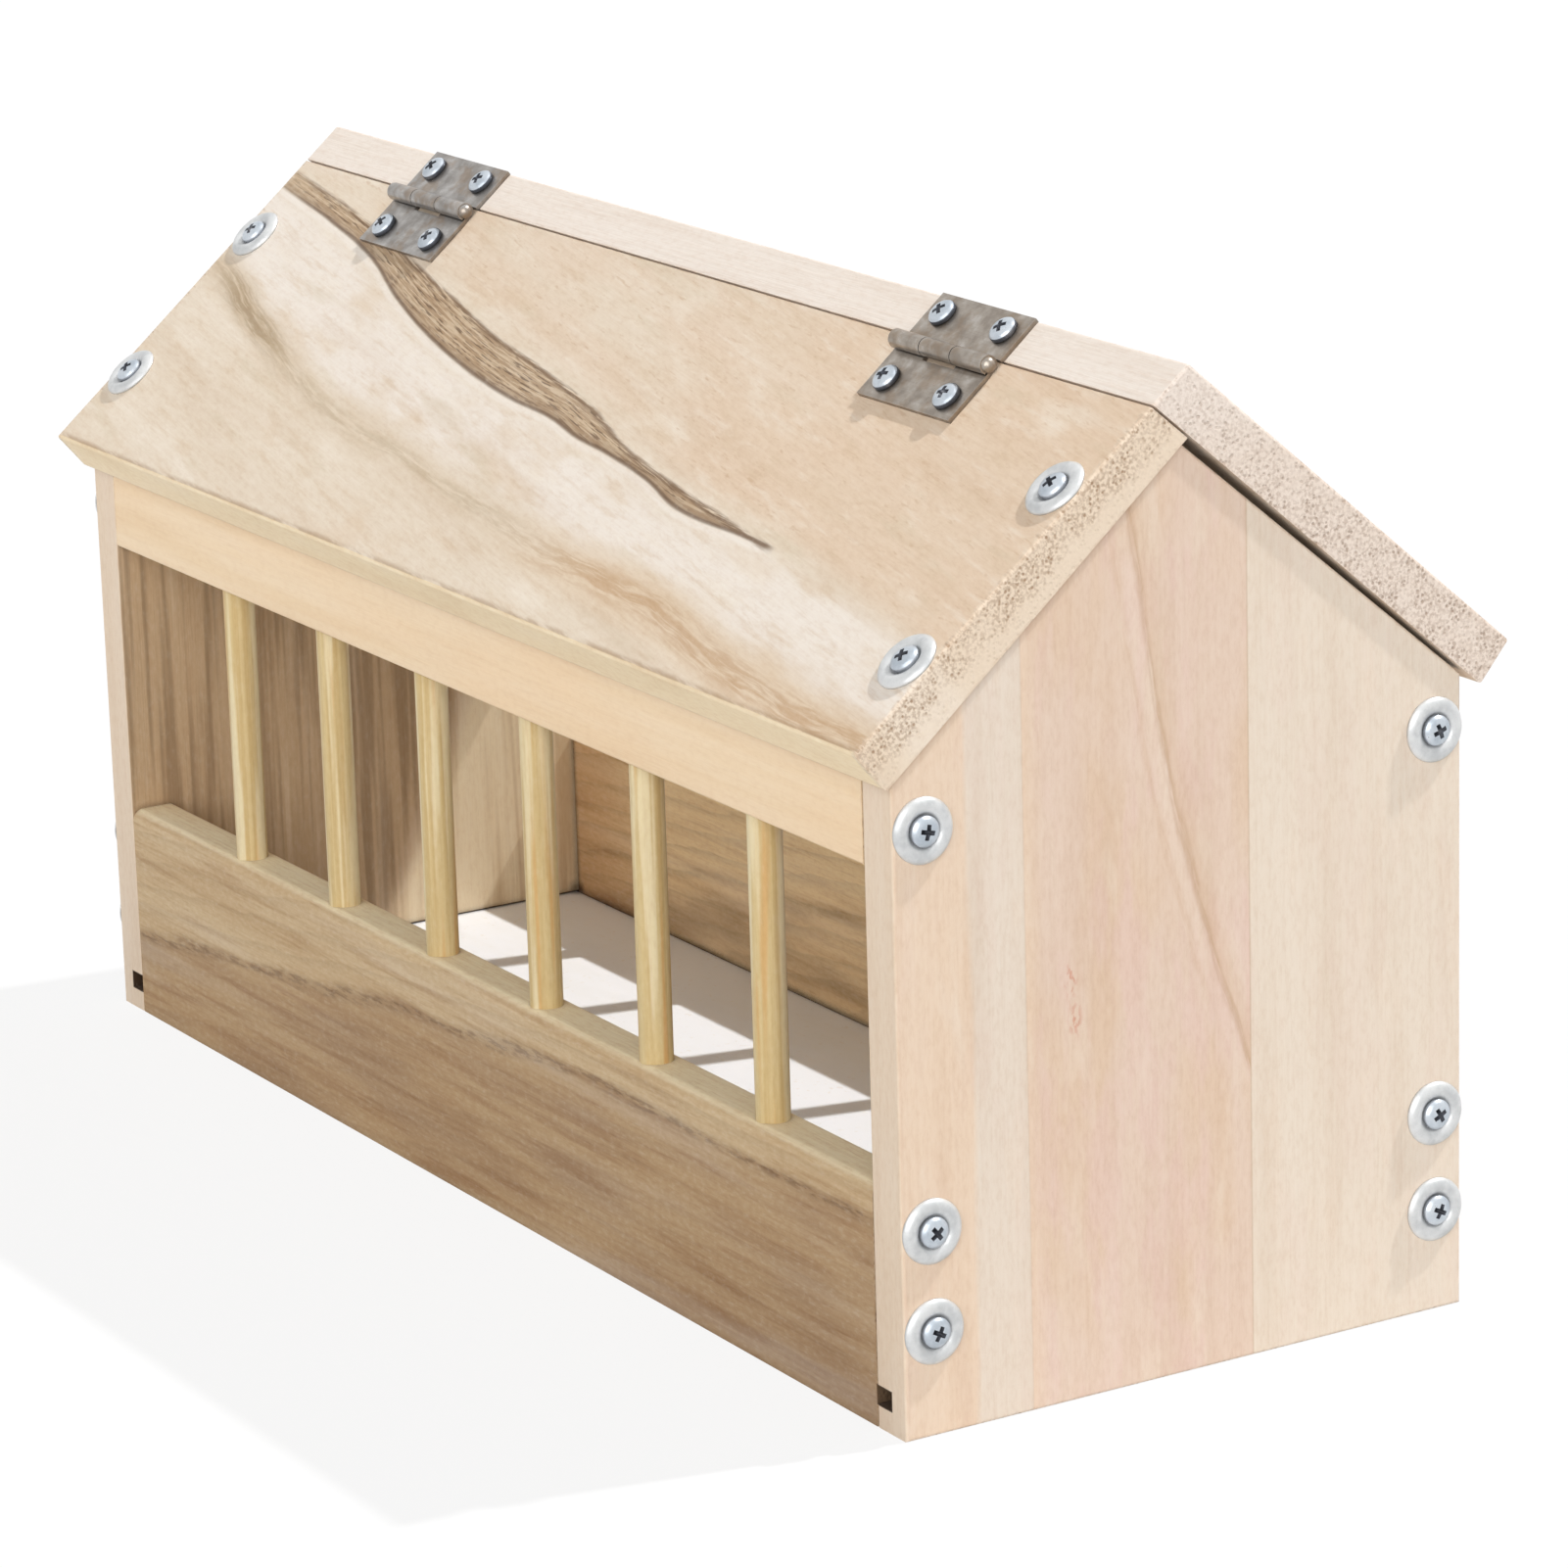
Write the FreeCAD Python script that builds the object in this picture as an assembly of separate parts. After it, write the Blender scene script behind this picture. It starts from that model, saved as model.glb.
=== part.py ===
import FreeCAD, Part
import math
import os

# Quail feeder: a house-shaped wooden box, fed through bars on both long sides.
# The front roof slope is screwed down. The rear slope is a lid on two butt hinges at the ridge.
# X runs along the ridge, Y from the front bars to the back bars, Z up. Sizes are in millimetres.

os.makedirs("parts", exist_ok=True)
Vector = FreeCAD.Vector

# Wood
board = 12.0                 # end panels, front board, front rail and roof
back_stock = 16.0            # back board and back rail
inner_length = 370.0         # between the end panels
depth = 150.0                # front edge to rear edge of an end panel
shoulder = 149.0             # height of an end panel's front and rear edges
pitch = math.radians(40.0)   # slope of both sides of the roof
low_board_height = 56.0
rail_height = 20.5           # front rail; the back rail starts level with it and reaches up to the lid
rail_gap = 0.5               # between the front rail's top and the end panels' shoulders
eased = 0.8                  # rounding of sawn edges
lip_front = 3.0              # rounding of a low board's outer top edge
lip_back = 1.2               # rounding of its inner top edge

# Bars
bar_radius = 4.0
bar_pitch = 52.0
first_bar = 59.0             # from the left end panel to the first bar's centre
last_bar = 40.0              # least distance from the last bar's centre to the right end panel
bar_seat = 8.0               # depth of the blind holes
bar_end_gap = 0.2            # left at each end of a bar in its hole
bar_fit = 0.03               # radial

# Floor
floor_thickness = 4.0
floor_fit = 0.2              # above and below the floor in its grooves
floor_end_gap = 0.5          # at the grooves' bottoms and at the low boards
groove_bottom = 5.4          # above the ground
groove_depth = 6.0

# Roof
roof_end = 1.0               # overhang past the end panels
eave = 2.3                   # front slope's overhang, measured down the slope
lid_eave = 5.5               # lid's overhang past the rear shoulders, measured down the slope
lid_gap_ridge = 2.2          # between the lid and the end panels' peaks
lid_gap_eave = 0.8           # between the lid and the end panels' rear shoulders
lid_rest = 0.05              # between the lid and the back rail that it lies on
seam = 0.6                   # between the front slope's upper end and the lid

# Hinges
hinge_inset = 64.0           # from an end panel's inner face to a hinge's middle
hinge_length = 38.0
leaf = 1.1                   # sheet thickness
pin_radius = 1.1
pin_fit = 0.05               # radial running clearance
barrel_lift = 0.3            # barrel above the wood
barrel_set = 3.3             # barrel's axis in front of the ridge seam
barrel_bend = math.radians(6.0)    # rise of the sheet from the leaf to the barrel
roll = math.radians(290.0)   # turn of the sheet around the pin
knuckle = 12.4               # length of the lid leaf's single middle knuckle
knuckle_gap = 0.3
notch = 0.5                  # between a leaf and the other leaf's knuckles
pin_head_radius = 1.9
pin_head = 1.5
leaf_hole_x = 12.5           # screw holes, left and right of the hinge's middle
leaf_hole = 10.0             # from the barrel's axis

# Screws and washers
shank_radius = 1.75
head_radius = 3.5
head_height = 2.2
head_side = 1.2              # straight part of the head's height
tip = 5.0
long_screw = 38.0            # under the head
leaf_screw = 11.0
hole_fit = 0.05              # radial, where a screw grips
free_fit = 0.25              # radial, where a screw passes through
washer_radius = 7.5
washer_rim = 0.4             # height of its outer edge
washer_crest = 1.5           # height of its rounded ring
washer_dish = 4.0            # radius of its low middle
washer_seat = 0.4            # height of its low middle, where the screw's head sits
end_screw_inset = 7.5        # from an end panel's front or rear edge to its screws
low_screw_drop = 8.7         # from a low board's top to its upper screws
low_screw_pitch = 23.0       # from its upper screws to its lower ones
rail_screw_rise = 9.3        # from a rail's bottom to its screws
roof_screw_low = 24.4        # up the slope from the front eave
roof_screw_high = 26.2       # down the slope from the ridge seam
roof_screw_inset = 7.0       # from an end panel's outer face

# Directions up the front slope, down the lid and square to each. The lid is steeper than the end panels.
slope = depth / 2 / math.cos(pitch)
lid_pitch = pitch + math.atan2(lid_gap_ridge - lid_gap_eave, slope)
front_up = Vector(0, math.cos(pitch), math.sin(pitch))
front_out = Vector(0, -math.sin(pitch), math.cos(pitch))
lid_out = Vector(0, math.sin(lid_pitch), math.cos(lid_pitch))
lid_down = Vector(0, math.cos(lid_pitch), -math.sin(lid_pitch))

# Values that follow from the sizes above
inner_x = inner_length / 2
outer_x = inner_x + board
roof_x = outer_x + roof_end
hinge_x = inner_x - hinge_inset
front_y = -depth / 2
rear_y = depth / 2
front_shoulder = Vector(0, front_y, shoulder)
rear_shoulder = Vector(0, rear_y, shoulder)
peak = shoulder + depth / 2 * math.tan(pitch)
front_rail_top = shoulder - rail_gap
back_rail_top = shoulder + (lid_gap_eave - lid_rest) / math.cos(lid_pitch)
rail_bottom = front_rail_top - rail_height
upper_low_screw = low_board_height - low_screw_drop
low_board_screws = (upper_low_screw - low_screw_pitch, upper_low_screw)
rail_screw = rail_bottom + rail_screw_rise
bar_count = 1 + int((inner_length - first_bar - last_bar) / bar_pitch)
bar_x = [first_bar - inner_x + bar_pitch * i for i in range(bar_count)]
front_bar_y = front_y + board / 2
back_bar_y = rear_y - back_stock / 2
barrel_inner = pin_radius + pin_fit
barrel_outer = barrel_inner + leaf
barrel_height = barrel_outer + barrel_lift


def on_front(up, out):
    """Point on the front slope: distance up from the front shoulder, height off the gable's edge."""
    return front_shoulder + front_up * up + front_out * out


def meets_lid(height):
    """Distance up the front slope's top face to a plane at the given height above the lid's underside."""
    level = lid_out.dot(rear_shoulder) + lid_gap_eave + height
    return (level - lid_out.dot(on_front(0, board))) / lid_out.dot(front_up)


seam_up = meets_lid(0)                       # lid's lower corner at the ridge
crest_up = meets_lid(board)                  # lid's top corner at the ridge
axis_up = seam_up - barrel_set
hinge_axis = on_front(axis_up, board + barrel_height)
leaf_width = crest_up - axis_up

lid_corner = on_front(seam_up, board)
lid_crest = on_front(crest_up, board)
lid_heel = rear_shoulder + lid_out * lid_gap_eave + lid_down * lid_eave
lid_toe = lid_heel + lid_out * board
eave_toe = on_front(-eave, board)
middle = (eave_toe.y + lid_toe.y) / 2        # middle of the outline, front eave to rear eave


def save(name, shape):
    """Write one node, with the origin under the middle of the outline."""
    moved = shape.copy()
    moved.translate(Vector(0, -middle, 0))
    moved.exportStep("parts/" + name + ".step")


def prism(corners, x0, x1):
    """Solid along X from x0 to x1 with the given outline."""
    loop = [Vector(x0, p.y, p.z) for p in corners + corners[:1]]
    return Part.Face(Part.makePolygon(loop)).extrude(Vector(x1 - x0, 0, 0))


def block(x0, x1, y0, y1, z0, z1):
    return Part.makeBox(x1 - x0, y1 - y0, z1 - z0, Vector(x0, y0, z0))


def rod(radius, start, direction, length):
    return Part.makeCylinder(radius, length, start, direction)


def ease(shape, radius, lines):
    """Round the straight edges that lie on the given lines: each line is a point and a direction."""
    chosen = []
    for edge in shape.Edges:
        a, b = edge.Vertexes[0].Point, edge.Vertexes[-1].Point
        for point, way in lines:
            off = max((q - point).cross(way).Length for q in (a, b))
            if off < 0.001 and a.distanceToPoint(b) > radius:
                chosen.append(edge)
    return shape.makeFillet(radius, chosen)


def along_x(point):
    return (point, Vector(1, 0, 0))


def end_screw_places(side):
    """Head side of the holes through one end panel, front row then back row."""
    rows = (front_y + end_screw_inset, rear_y - end_screw_inset)
    heights = low_board_screws + (rail_screw,)
    return [Vector(side * outer_x, y, z) for y in rows for z in heights]


def roof_screw_places():
    """Head side of the holes at both ends of the front slope."""
    levels = [on_front(up, board) for up in (roof_screw_low - eave, seam_up - roof_screw_high)]
    return [Vector(side * (outer_x - roof_screw_inset), p.y, p.z) for side in (-1, 1) for p in levels]


def leaf_screw_places(side, reach):
    """Screw holes of one leaf on the wood: reach is measured from the barrel's axis, up the slope."""
    p = on_front(axis_up + reach, board)
    return [Vector(side * hinge_x + x, p.y, p.z) for x in (-leaf_hole_x, leaf_hole_x)]


def end_panel(side):
    """House-shaped panel with the floor's groove, six screw holes and two holes in its front slope."""
    corners = [Vector(0, front_y, 0), Vector(0, rear_y, 0), rear_shoulder, Vector(0, 0, peak), front_shoulder]
    inside, outside = side * inner_x, side * outer_x
    panel = prism(corners, inside, outside)
    uprights = [(Vector(inside, y, 0), Vector(0, 0, 1)) for y in (front_y, rear_y)]
    sides = zip(corners, corners[1:] + corners[:1])
    outline = [(Vector(outside, a.y, a.z), (b - a).normalize()) for a, b in sides]
    panel = ease(panel, eased, uprights + outline)
    groove_x = sorted((inside, side * (inner_x + groove_depth)))
    groove_top = groove_bottom + floor_thickness + 2 * floor_fit
    panel = panel.cut(block(*groove_x, front_y, rear_y, groove_bottom, groove_top))
    for place in end_screw_places(side):
        panel = panel.cut(rod(shank_radius + free_fit, place, Vector(-side, 0, 0), board))
    for place in roof_screw_places():
        panel = panel.cut(rod(shank_radius + hole_fit, place, -front_out, long_screw - washer_seat))
    return panel


def crosspiece(y_outer, y_inner, z0, z1, screw_heights):
    """Plank between the end panels with screw holes in both ends."""
    piece = block(-inner_x, inner_x, min(y_outer, y_inner), max(y_outer, y_inner), z0, z1)
    screw_y = y_outer + math.copysign(end_screw_inset, y_inner - y_outer)
    for side in (-1, 1):
        for z in screw_heights:
            start = Vector(side * inner_x, screw_y, z)
            piece = piece.cut(rod(shank_radius + hole_fit, start, Vector(-side, 0, 0), long_screw - board))
    return piece


def low_board(y_outer, y_inner):
    """Board that keeps the feed in, with a rounded lip and blind holes for the bars."""
    piece = crosspiece(y_outer, y_inner, 0, low_board_height, low_board_screws)
    piece = ease(piece, lip_front, [along_x(Vector(0, y_outer, low_board_height))])
    piece = ease(piece, lip_back, [along_x(Vector(0, y_inner, low_board_height))])
    for x in bar_x:
        start = Vector(x, (y_outer + y_inner) / 2, low_board_height)
        piece = piece.cut(rod(bar_radius + bar_fit, start, Vector(0, 0, -1), bar_seat))
    return piece


def rail(y_outer, y_inner, top):
    """Plank under the roof with blind holes for the tops of the bars."""
    piece = crosspiece(y_outer, y_inner, rail_bottom, top, [rail_screw])
    piece = ease(piece, eased, [along_x(Vector(0, y, rail_bottom)) for y in (y_outer, y_inner)])
    for x in bar_x:
        start = Vector(x, (y_outer + y_inner) / 2, rail_bottom)
        piece = piece.cut(rod(bar_radius + bar_fit, start, Vector(0, 0, 1), bar_seat))
    return piece


def bar(x, y):
    """Round bar with its ends in the low board and the rail."""
    start = low_board_height - bar_seat + bar_end_gap
    length = rail_bottom + bar_seat - bar_end_gap - start
    return rod(bar_radius, Vector(x, y, start), Vector(0, 0, 1), length)


def floor_panel():
    """Thin panel in the end panels' grooves, between the low boards."""
    reach = inner_x + groove_depth - floor_end_gap
    bottom = groove_bottom + floor_fit
    return block(-reach, reach, front_y + board + floor_end_gap, rear_y - back_stock - floor_end_gap,
                 bottom, bottom + floor_thickness)


def front_roof_panel():
    """Fixed slope. Its upper end is cut parallel to the lid's underside."""
    top = on_front(meets_lid(-seam), board)
    foot = top + lid_down * (board / -lid_down.dot(front_out))
    corners = [on_front(-eave, 0), foot, top, eave_toe]
    panel = prism(corners, -roof_x, roof_x)
    ends = [(Vector(x, top.y, top.z), front_up) for x in (-roof_x, roof_x)]
    panel = ease(panel, eased, ends + [along_x(eave_toe), along_x(on_front(-eave, 0))])
    for place in roof_screw_places():
        panel = panel.cut(rod(shank_radius + free_fit, place, -front_out, board))
    for side in (-1, 1):
        for place in leaf_screw_places(side, -leaf_hole):
            panel = panel.cut(rod(shank_radius + hole_fit, place, -front_out, leaf_screw - leaf))
    return panel


def rear_roof_lid():
    """Hinged slope. Its upper edge is planed flush with the front slope, so that the hinges lie flat."""
    lid = prism([lid_corner, lid_heel, lid_toe, lid_crest], -roof_x, roof_x)
    ends = [(Vector(x, p.y, p.z), way) for x in (-roof_x, roof_x)
            for p, way in ((lid_crest, lid_down), (lid_crest, front_up))]
    lid = ease(lid, eased, ends + [along_x(lid_heel), along_x(lid_toe), along_x(lid_crest)])
    for side in (-1, 1):
        for place in leaf_screw_places(side, leaf_hole):
            lid = lid.cut(rod(shank_radius + hole_fit, place, -front_out, leaf_screw - leaf))
    return lid


def leaf_outline(way):
    """Section of one rolled leaf: flat on the wood, then around the pin, its end left open.
    way is +1 for the leaf on the lid and -1 for the leaf on the front slope."""
    def at(v, w):
        return on_front(axis_up + way * v, board + w)

    def on_roll(radius, angle):
        return at(radius * math.cos(angle), barrel_height + radius * math.sin(angle))

    start = -math.pi / 2 - barrel_bend
    end = start - roll
    halfway = start - roll / 2
    bend = (barrel_height - barrel_outer * math.cos(barrel_bend)) / math.tan(barrel_bend)
    bend = bend - barrel_outer * math.sin(barrel_bend)
    bend_top = bend - leaf * math.tan(barrel_bend / 2)
    outer = Part.Arc(on_roll(barrel_outer, start), on_roll(barrel_outer, halfway), on_roll(barrel_outer, end))
    inner = Part.Arc(on_roll(barrel_inner, end), on_roll(barrel_inner, halfway), on_roll(barrel_inner, start))
    path = [at(leaf_width, 0), at(bend, 0), on_roll(barrel_outer, start)]
    back = [on_roll(barrel_inner, start), at(bend_top, leaf), at(leaf_width, leaf), at(leaf_width, 0)]
    edges = [Part.makeLine(a, b) for a, b in zip(path, path[1:])]
    edges.append(outer.toShape())
    edges.append(Part.makeLine(on_roll(barrel_outer, end), on_roll(barrel_inner, end)))
    edges.append(inner.toShape())
    edges.extend(Part.makeLine(a, b) for a, b in zip(back, back[1:]))
    return Part.Face(Part.Wire(edges))


def hinge_leaf(side, way, knuckles):
    """One leaf. way is as in leaf_outline, and knuckles are (start, end) pairs from the hinge's left end."""
    left = side * hinge_x - hinge_length / 2
    near = barrel_outer + notch
    plate = prism([on_front(axis_up + way * v, board + w) for v, w in
                   ((near, 0), (leaf_width, 0), (leaf_width, leaf), (near, leaf))], left, left + hinge_length)
    section = leaf_outline(way)
    for x0, x1 in knuckles:
        rolled = section.copy()
        rolled.translate(Vector(left + x0, 0, 0))
        plate = plate.fuse(rolled.extrude(Vector(x1 - x0, 0, 0)))
    for place in leaf_screw_places(side, way * leaf_hole):
        plate = plate.cut(rod(shank_radius + free_fit, place, front_out, leaf))
    return plate.removeSplitter()


def fixed_leaf(side):
    first = (hinge_length - knuckle) / 2 - knuckle_gap
    return hinge_leaf(side, -1, [(0, first), (hinge_length - first, hinge_length)])


def lid_leaf(side):
    first = (hinge_length - knuckle) / 2
    return hinge_leaf(side, 1, [(first, first + knuckle)])


def cap_middle(radius, base, height):
    """Point halfway up a spherical cap of the given radius and height, as (radius, height)."""
    sphere = (radius ** 2 + height ** 2) / (2 * height)
    half = math.asin(radius / sphere) / 2
    return (sphere * math.sin(half), base + height - sphere + sphere * math.cos(half))


def turned(start, steps):
    """Solid turned about Z from a closed half outline of (radius, height) points.
    A step is the next point, or a pair: a point that an arc passes through and the arc's end."""
    edges = []
    here = start
    for step in steps + [start]:
        if isinstance(step[0], tuple):
            through, end = step
            arc = Part.Arc(*[Vector(r, 0, z) for r, z in (here, through, end)])
            edges.append(arc.toShape())
        else:
            end = step
            edges.append(Part.makeLine(Vector(here[0], 0, here[1]), Vector(end[0], 0, end[1])))
        here = end
    return Part.Face(Part.Wire(edges)).revolve(Vector(0, 0, 0), Vector(0, 0, 1), 360)


def hinge_pin(side):
    """Pin through the three knuckles with a domed head at its right end."""
    dome = (cap_middle(pin_head_radius, hinge_length, pin_head), (0, hinge_length + pin_head))
    pin = turned((0, 0), [(pin_radius, 0), (pin_radius, hinge_length), (pin_head_radius, hinge_length), dome])
    left = Vector(side * hinge_x - hinge_length / 2, hinge_axis.y, hinge_axis.z)
    pin.Placement = FreeCAD.Placement(left, FreeCAD.Rotation(Vector(0, 0, 1), Vector(1, 0, 0)))
    return pin


def screw(length):
    """Pan-head screw. The underside of its head is at height 0."""
    dome = (cap_middle(head_radius, head_side, head_height - head_side), (0, head_height))
    return turned((0, -length), [(shank_radius, tip - length), (shank_radius, 0), (head_radius, 0),
                                 (head_radius, head_side), dome])


def washer():
    """Washer with a rounded ring and a low flat middle that the screw's head sits on."""
    bore = shank_radius + free_fit
    crest = ((washer_radius + washer_dish) / 2, washer_crest)
    return turned((bore, 0), [(washer_radius, 0), (washer_radius, washer_rim),
                              (crest, (washer_dish, washer_seat)), (bore, washer_seat)])


def group(model, places, outward, lift):
    """Copies of one fastener, each at a place on the wood, lifted off it and pointing outward."""
    copies = []
    for place in places:
        copy = model.copy()
        turn = FreeCAD.Rotation(Vector(0, 0, 1), outward)
        copy.Placement = FreeCAD.Placement(place + outward * lift, turn)
        copies.append(copy)
    return Part.makeCompound(copies)


def build():
    for name, side in (("left", -1), ("right", 1)):
        outward = Vector(side, 0, 0)
        save(name + "_end_panel", end_panel(side))
        save(name + "_end_washers", group(washer(), end_screw_places(side), outward, 0))
        save(name + "_end_screws", group(screw(long_screw), end_screw_places(side), outward, washer_seat))
        save(name + "_hinge_fixed_leaf", fixed_leaf(side))
        save(name + "_hinge_lid_leaf", lid_leaf(side))
        save(name + "_hinge_pin", hinge_pin(side))
    save("front_board", low_board(front_y, front_y + board))
    save("back_board", low_board(rear_y, rear_y - back_stock))
    save("front_rail", rail(front_y, front_y + board, front_rail_top))
    save("back_rail", rail(rear_y, rear_y - back_stock, back_rail_top))
    for i, x in enumerate(bar_x):
        save("front_bar_%d" % (i + 1), bar(x, front_bar_y))
        save("back_bar_%d" % (i + 1), bar(x, back_bar_y))
    save("floor_panel", floor_panel())
    save("front_roof_panel", front_roof_panel())
    save("rear_roof_lid", rear_roof_lid())
    save("roof_washers", group(washer(), roof_screw_places(), front_out, 0))
    save("roof_screws", group(screw(long_screw), roof_screw_places(), front_out, washer_seat))
    for name, reach in (("fixed_leaf_screws", -leaf_hole), ("lid_leaf_screws", leaf_hole)):
        places = leaf_screw_places(-1, reach) + leaf_screw_places(1, reach)
        save(name, group(screw(leaf_screw), places, front_out, leaf))


build()
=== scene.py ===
import math
import random

import bmesh
import bpy
from mathutils import Matrix, Vector


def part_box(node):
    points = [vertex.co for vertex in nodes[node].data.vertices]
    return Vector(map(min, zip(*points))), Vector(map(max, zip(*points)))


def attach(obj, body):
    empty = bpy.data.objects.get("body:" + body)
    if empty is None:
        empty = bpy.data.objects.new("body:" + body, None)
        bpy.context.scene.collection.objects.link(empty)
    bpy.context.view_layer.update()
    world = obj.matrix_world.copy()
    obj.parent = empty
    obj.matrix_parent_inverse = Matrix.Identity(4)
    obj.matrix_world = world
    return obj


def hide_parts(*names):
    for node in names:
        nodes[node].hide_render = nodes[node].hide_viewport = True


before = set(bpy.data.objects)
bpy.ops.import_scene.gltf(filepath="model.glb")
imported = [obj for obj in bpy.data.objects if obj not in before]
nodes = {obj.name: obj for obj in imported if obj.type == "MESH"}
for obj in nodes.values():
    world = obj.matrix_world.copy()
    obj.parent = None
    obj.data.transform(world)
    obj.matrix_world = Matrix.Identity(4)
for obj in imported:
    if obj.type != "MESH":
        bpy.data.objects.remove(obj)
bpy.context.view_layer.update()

# Looks of the quail feeder: bare pale wood, zinc screws and washers, dull steel hinges.
# Geometry is in metres in the shared frame. Materials measure in millimetres, by MILLI.
MILLI = 1000.0

# Camera: the point it aims at, its distance, its angles in degrees, and its lens
AIM = Vector((0.0711, -0.0277, 0.1123))
DISTANCE = 1.45
AZIMUTH, ELEVATION, ROLL = 59.2025, 15.593, -1.696
FOCAL_PIXELS = 6354.3
IMAGE_PIXELS = 1601
SENSOR = 36.0
CLIP_START, CLIP_END = 0.05, 100.0

# Light: the share of full daylight on a surface that faces each lamp, the direction that it comes
# from and how wide the lamp looks in degrees, then the share that comes from the sky
SUN, SUN_FROM, SUN_ANGLE = 0.85, Vector((0.22, 1.0, 1.5)), 1.5
KEY, KEY_FROM, KEY_ANGLE = 0.70, Vector((0.66, -0.66, 0.25)), 60.0
SKY = 0.33
# Pale floor: the share of it that glows white in view, its tone in view, its tone as it lights the
# object, how far it reaches in metres and its rows of cells
FLOOR_GLOW, FLOOR_TONE, FLOOR_BOUNCE = 0.85, 0.93, 0.58
FLOOR_REACH, FLOOR_CELLS = 30.0, 8

# Front roof slope in metres, and the slant of its grain
PITCH = math.radians(40.0)
ROOF_BOARD = 0.012
ROOF_SLANT = 0.17
front_up = Vector((0, math.cos(PITCH), math.sin(PITCH)))
front_out = Vector((0, -math.sin(PITCH), math.cos(PITCH)))
slab_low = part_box("front_roof_panel")[0]
front_eave = Vector((0, slab_low.y + ROOF_BOARD * math.sin(PITCH), slab_low.z))

# Places that the wood's figure follows, in millimetres. Lines are (along, across) points, within
# the ranges below them.
STREAK_UPPER = ((-200, 96), (-152, 88.3), (-98, 77.5), (-55, 68.3), (-15, 61.8), (12, 57),
                (40, 49.4), (70, 44.3), (94, 41), (116, 38.2), (200, 24))
STREAK_LOWER = ((-200, 90), (-163, 84.3), (-132, 78), (-102, 68.3), (-76, 61.3), (-51, 56.3),
                (-22, 52.3), (0, 51), (16, 48.3), (30, 47), (53, 44), (75, 39.3), (116, 38),
                (200, 28))
SOFT_BAND = ((-200, 64), (-185, 60), (-147, 47), (-92, 33.5), (-48, 29), (31, 19.5), (95, 15),
             (150, 6), (200, 2))
BOARD_LINE = ((-200, 21), (-94, 32), (11, 43), (105, 46.5), (200, 47))
BOARD_REACH, SLOPE_HEIGHT, BOARD_HEIGHT = (-200.0, 200.0), (-10.0, 110.0), (0.0, 60.0)
PANEL_STREAK = ((0, 34), (68, 15.5), (99, 5), (124, -2), (162, -9.5), (212, -17))
PANEL_HEIGHT, PANEL_DEPTH = (0.0, 212.0), (-40.0, 40.0)
PALE_BAND, FRONT_JOINT, REAR_JOINT = -57.5, -43.5, 15.5
RED_MARKS = ((-32.0, 97.0), (-31.0, 88.0))
# The floor's groove: its heights, its bottom from the middle, and how blurred its edges are
GROOVE_LOW, GROOVE_HIGH, GROOVE_BOTTOM, GROOVE_BLUR = 5.2, 10.0, 191.2, 0.05

# How far each seed moves the noise along the grain, and the shares of that across and through it
SEED_STEP, ACROSS_STEP, THROUGH_STEP = 37.0, 1.7, 0.6
# Share of its reach within which near() is full
NEAR_CORE = 0.15
# Height of a bump in metres: wood with a depth of 1, the floor panel, metal
WOOD_RELIEF, PANEL_RELIEF, METAL_RELIEF = 0.0002, 0.00003, 0.00001
WHITE = (1.0, 1.0, 1.0, 1.0)
# Places of a Mix node's colours among its sockets
MIX_A, MIX_B, MIX_RESULT = 6, 7, 2


def srgb(red, green, blue):
    """Colour as it looks on a screen, turned into the linear values that shaders use."""
    def linear(v):
        return v / 12.92 if v <= 0.04045 else ((v + 0.055) / 1.055) ** 2.4
    return (linear(red), linear(green), linear(blue), 1.0)


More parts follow.
